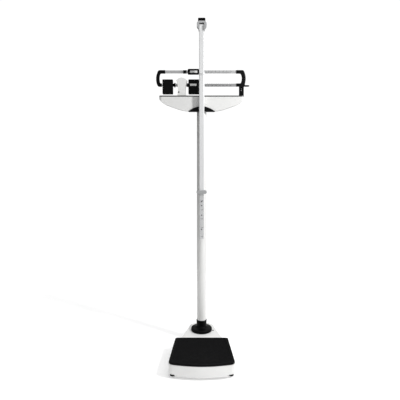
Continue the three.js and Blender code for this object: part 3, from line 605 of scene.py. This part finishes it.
def lower_scale():
    """Marks every 10 kg under the notches, and numbers every 20 kg."""
    bm = bmesh.new()
    low = 1454
    for i in range(21):
        x = ZERO_X + 10 * i
        add_mark(bm, x - 0.35, low + 9.2, x + 0.35, low + 12.8, LOWER_FACE)
    for i in range(0, 21, 2):
        add_label(bm, str(10 * i), (ZERO_X + 10 * i, low + 5), 6.6, LOWER_FACE)
    printed("lower_scale", bm, "beam")


def rail_scale():
    """Centimetres of height, read at the lower edge of the collar on the rod."""
    bm = bmesh.new()
    edge, reading = 870.0, 168.9
    for centimetre in range(144, 200):
        z = edge + (centimetre - reading) * 10
        long = centimetre % 5 == 0
        add_mark(bm, -11, z - 0.35, -11 + (9 if long else 5), z + 0.35, RAIL_FACE)
        add_mark(bm, 11 - (4 if long else 2.5), z - 0.35, 11, z + 0.35, RAIL_FACE)
        add_mark(bm, -11, z + 4.8, -8, z + 5.1, RAIL_FACE)
        if long:
            add_label(bm, str(centimetre), (2.2, z), 8.5, RAIL_FACE)
    printed("rail_scale", bm, "base")


def zero_stop():
    """A black block on the upper bar that keeps the small poise from going below zero."""
    bm = bmesh.new()
    add_box(bm, (-101.1, -6.1, 1523.9), (-81.9, 6.1, 1542.1))
    block = piece("zero_stop", bm, "beam", BLACK)
    round_edges(block, 1.2)


def index_line(name, x, low, high, face_y, body):
    bm = bmesh.new()
    add_mark(bm, x - 0.3, low, x + 0.3, high, face_y)
    printed(name, bm, body)


upper_scale()
lower_scale()
rail_scale()
zero_stop()
index_line("small_index", ZERO_X, 1526.9, 1530.6, -10, "small_poise")
index_line("large_index", ZERO_X, 1456.4, 1460.1, -17, "large_poise")


# ---------- screws and small parts ----------
def screw(name, centre, radius, body, material, height):
    """A domed screw head with a cross recess, on a face that looks forward."""
    bm = bmesh.new()
    profile = [(0, 0.6), (radius, 0.6), (radius, -height * 0.35)]
    profile += [(radius * 0.86, -height * 0.8), (0, -height)]
    turn(bm, profile, centre, axis="y", facets=32)
    obj = piece(name, bm, body, material)
    round_edges(obj, 0.2, 2, 25)
    cross = bmesh.new()
    for along, up in ((0.62, 0.13), (0.13, 0.62)):
        made = bmesh.ops.create_cube(cross, size=1.0)
        for v in made["verts"]:
            x, y, z = v.co.x * 2 * along * radius, v.co.y * 1.2 - height, v.co.z * 2 * up * radius
            v.co = centre + Vector((x, y, z)) * MM
    tool = bpy.data.objects.new(name + "_tool", bpy.data.meshes.new(name + "_tool"))
    bmesh.ops.recalc_face_normals(cross, faces=cross.faces)
    cross.to_mesh(tool.data)
    cross.free()
    bpy.context.scene.collection.objects.link(tool)
    hole = obj.modifiers.new("hole", "BOOLEAN")
    hole.operation = "DIFFERENCE"
    hole.solver = "EXACT"
    hole.use_self = True
    hole.object = tool
    bpy.context.view_layer.update()
    final = bpy.data.meshes.new_from_object(obj.evaluated_get(bpy.context.evaluated_depsgraph_get()))
    obj.modifiers.clear()
    obj.data = final
    bpy.data.objects.remove(tool)
    return obj


for number, height in enumerate((672, 751, 805, 827)):
    screw(f"rail_screw_{number + 1}", at(0, RAIL_FACE, height), 3.2, "base", BLACK, 1.4)


for number, (x, z) in enumerate(((-213, 1533), (203, 1533), (201, 1462.5))):
    screw(f"bracket_screw_{number + 1}", at(x, -6, z), 2.7, "beam", BLACK, 1.2)


# ---------- floor, lights, camera ----------
def floor():
    bm = bmesh.new()
    bmesh.ops.create_circle(bm, cap_ends=True, segments=64, radius=1.5)
    mesh = bpy.data.meshes.new("floor")
    bm.to_mesh(mesh)
    bm.free()
    obj = bpy.data.objects.new("floor", mesh)
    bpy.context.scene.collection.objects.link(obj)
    n = Nodes("floor_paper")
    tone = n.mixed(n.spread(n.noise(0.8, 2.0), 0.3, 0.7), (0.9, 0.9, 0.9), (0.93, 0.93, 0.93))
    n.finish(tone, n.spread(n.noise(3.0, 2.0), 0.3, 0.7, 0.85, 0.95), n.bump(n.noise(60.0, 2.0), 0.0001, 0.1))
    n.shader.inputs["Emission Color"].default_value = (1, 1, 1, 1)
    n.shader.inputs["Emission Strength"].default_value = 0.2
    mesh.materials.append(n.material)


def world():
    """A pale studio: white behind the object, brightest overhead, and dark at the far left."""
    made = bpy.data.worlds.new("studio")
    bpy.context.scene.world = made
    made.use_nodes = True
    tree = made.node_tree
    background = tree.nodes["Background"]
    place = tree.nodes.new("ShaderNodeTexCoord")
    split = tree.nodes.new("ShaderNodeSeparateXYZ")
    side = tree.nodes.new("ShaderNodeMapRange")
    side.inputs["From Min"].default_value = -0.85
    side.inputs["From Max"].default_value = 0.3
    side.inputs["To Min"].default_value = 0.02
    side.inputs["To Max"].default_value = 0.42
    above = tree.nodes.new("ShaderNodeMapRange")
    above.inputs["From Min"].default_value = 0.2
    above.inputs["From Max"].default_value = 1.0
    above.inputs["To Max"].default_value = 0.95
    total = tree.nodes.new("ShaderNodeMath")
    white = tree.nodes.new("ShaderNodeBackground")
    white.inputs["Strength"].default_value = 1.05
    seen = tree.nodes.new("ShaderNodeLightPath")
    choose = tree.nodes.new("ShaderNodeMixShader")
    link = tree.links.new
    link(place.outputs["Generated"], split.inputs["Vector"])
    link(split.outputs["X"], side.inputs["Value"])
    link(split.outputs["Z"], above.inputs["Value"])
    link(side.outputs["Result"], total.inputs[0])
    link(above.outputs["Result"], total.inputs[1])
    link(total.outputs["Value"], background.inputs["Strength"])
    background.inputs["Color"].default_value = (1, 1, 1, 1)
    white.inputs["Color"].default_value = (1, 1, 1, 1)
    link(seen.outputs["Is Camera Ray"], choose.inputs["Fac"])
    link(background.outputs["Background"], choose.inputs[1])
    link(white.outputs["Background"], choose.inputs[2])
    link(choose.outputs["Shader"], tree.nodes["World Output"].inputs["Surface"])


def key_light():
    """A fairly hard light from the front right, a little above the head."""
    lamp = bpy.data.lights.new("key", "AREA")
    lamp.shape = "DISK"
    lamp.size = 0.22
    lamp.energy = 27.0
    obj = bpy.data.objects.new("key", lamp)
    bpy.context.scene.collection.objects.link(obj)
    target = at(0, -30, 1360)
    side, up, away = math.radians(57), math.radians(16), 1.7
    towards = Vector((math.sin(side) * math.cos(up), -math.cos(side) * math.cos(up), math.sin(up)))
    obj.location = target + towards * away
    obj.rotation_euler = towards.to_track_quat("Z", "Y").to_euler()


def camera():
    data = bpy.data.cameras.new("camera")
    data.lens = 40.5
    data.sensor_width = 36.0
    data.shift_y = -0.045
    obj = bpy.data.objects.new("camera", data)
    bpy.context.scene.collection.objects.link(obj)
    obj.location = at(-8.9, -2501.5, 1186.5)
    obj.rotation_euler = (math.radians(90 - 5.86), 0, 0)
    bpy.context.scene.camera = obj


floor()
world()
key_light()
camera()
bpy.context.scene.view_settings.view_transform = "Standard"
